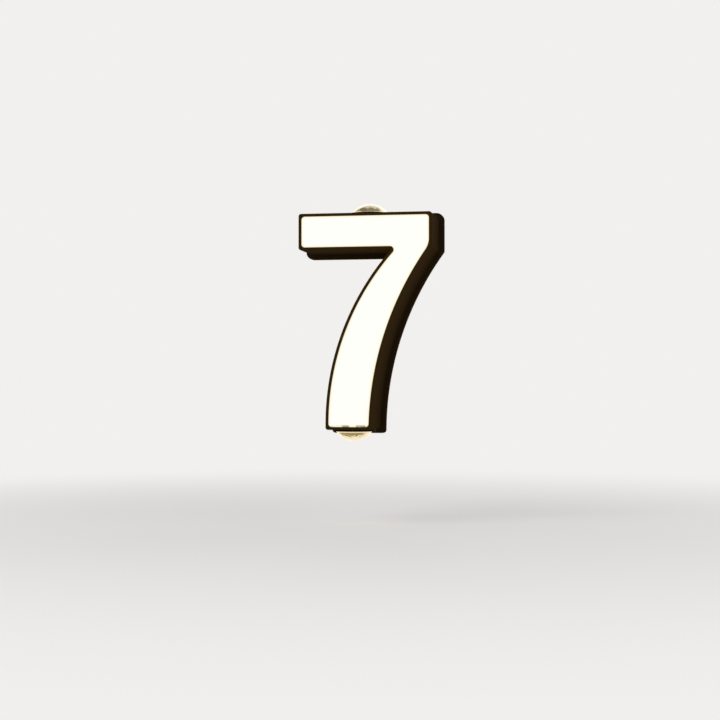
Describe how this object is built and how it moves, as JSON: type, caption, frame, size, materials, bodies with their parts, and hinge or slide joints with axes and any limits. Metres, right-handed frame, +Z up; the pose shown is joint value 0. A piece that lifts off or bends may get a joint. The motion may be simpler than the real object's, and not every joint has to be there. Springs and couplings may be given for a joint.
{
  "type": "illuminated house number sign",
  "caption": "Wall lamp in the shape of the digit seven: luminous white front in a black shell on a wider plinth, with a clear domed lens lamp facing up and another facing down.",
  "frame": {"origin": "on the wall plane, behind the middle of the number's own width and height", "axes": "+Z up, +X to the right for someone who faces the sign, -Y out of the wall towards them"},
  "size_m": [0.1332, 0.06, 0.2218],
  "materials": {
    "shell_black": "satin black injection-moulded shell",
    "ring_black": "satin black moulded collar",
    "seal_rubber": "matt dark grey rubber",
    "zinc_steel": "zinc-plated pressed steel",
    "screw_steel": "bright zinc-plated screws",
    "opal_face": "opal acrylic lit from behind",
    "lens_clear": "clear polished glass",
    "tray_white": "white powder-coated sheet",
    "board_white": "white solder mask",
    "led_phosphor": "yellow phosphor under silicone",
    "reflector_bright": "bright vacuum-metallised plastic",
    "raw_aluminium": "plain extruded aluminium",
    "driver_plastic": "matt light grey moulding",
    "board_green": "green solder mask",
    "winding_tape": "yellow tape round a coil",
    "capacitor_sleeve": "dark blue shrink sleeve",
    "terminal_plastic": "matt cream moulding",
    "contact_brass": "plain brass",
    "lead_brown": "brown lead insulation",
    "lead_blue": "blue lead insulation",
    "lead_green": "green and yellow lead insulation",
    "lead_white": "white lead insulation"
  },
  "bodies": {
    "root": {"base_plate": "shell_black", "base_gasket": "seal_rubber", "cable_grommet": "seal_rubber", "wall_bracket": "zinc_steel", "lock_screws": "screw_steel", "base_screws": "screw_steel", "housing": "shell_black", "face_diffuser": "opal_face", "face_seal": "seal_rubber", "led_tray": "tray_white", "led_board": "board_white", "face_leds": "led_phosphor", "tray_screws": "screw_steel", "heat_sink_screws": "screw_steel", "upper_lens_ring": "ring_black", "upper_lens": "lens_clear", "upper_lens_seal": "seal_rubber", "upper_reflector": "reflector_bright", "upper_lamp_board": "board_white", "upper_emitter": "led_phosphor", "upper_heat_sink": "raw_aluminium", "upper_lamp_screws": "screw_steel", "lower_lens_ring": "ring_black", "lower_lens": "lens_clear", "lower_lens_seal": "seal_rubber", "lower_reflector": "reflector_bright", "lower_lamp_board": "board_white", "lower_emitter": "led_phosphor", "lower_heat_sink": "raw_aluminium", "lower_lamp_screws": "screw_steel", "driver_case": "driver_plastic", "driver_lid": "driver_plastic", "driver_board": "board_green", "driver_transformer": "winding_tape", "driver_capacitor": "capacitor_sleeve", "driver_screws": "screw_steel", "terminal_block": "terminal_plastic", "terminal_screws": "contact_brass", "terminal_fixings": "screw_steel", "earth_tag": "contact_brass", "earth_screw": "screw_steel", "live_lead": "lead_brown", "neutral_lead": "lead_blue", "earth_lead": "lead_green", "face_leads": "lead_white", "upper_lamp_leads": "lead_white", "lower_lamp_leads": "lead_white"}
  },
  "joints": []
}
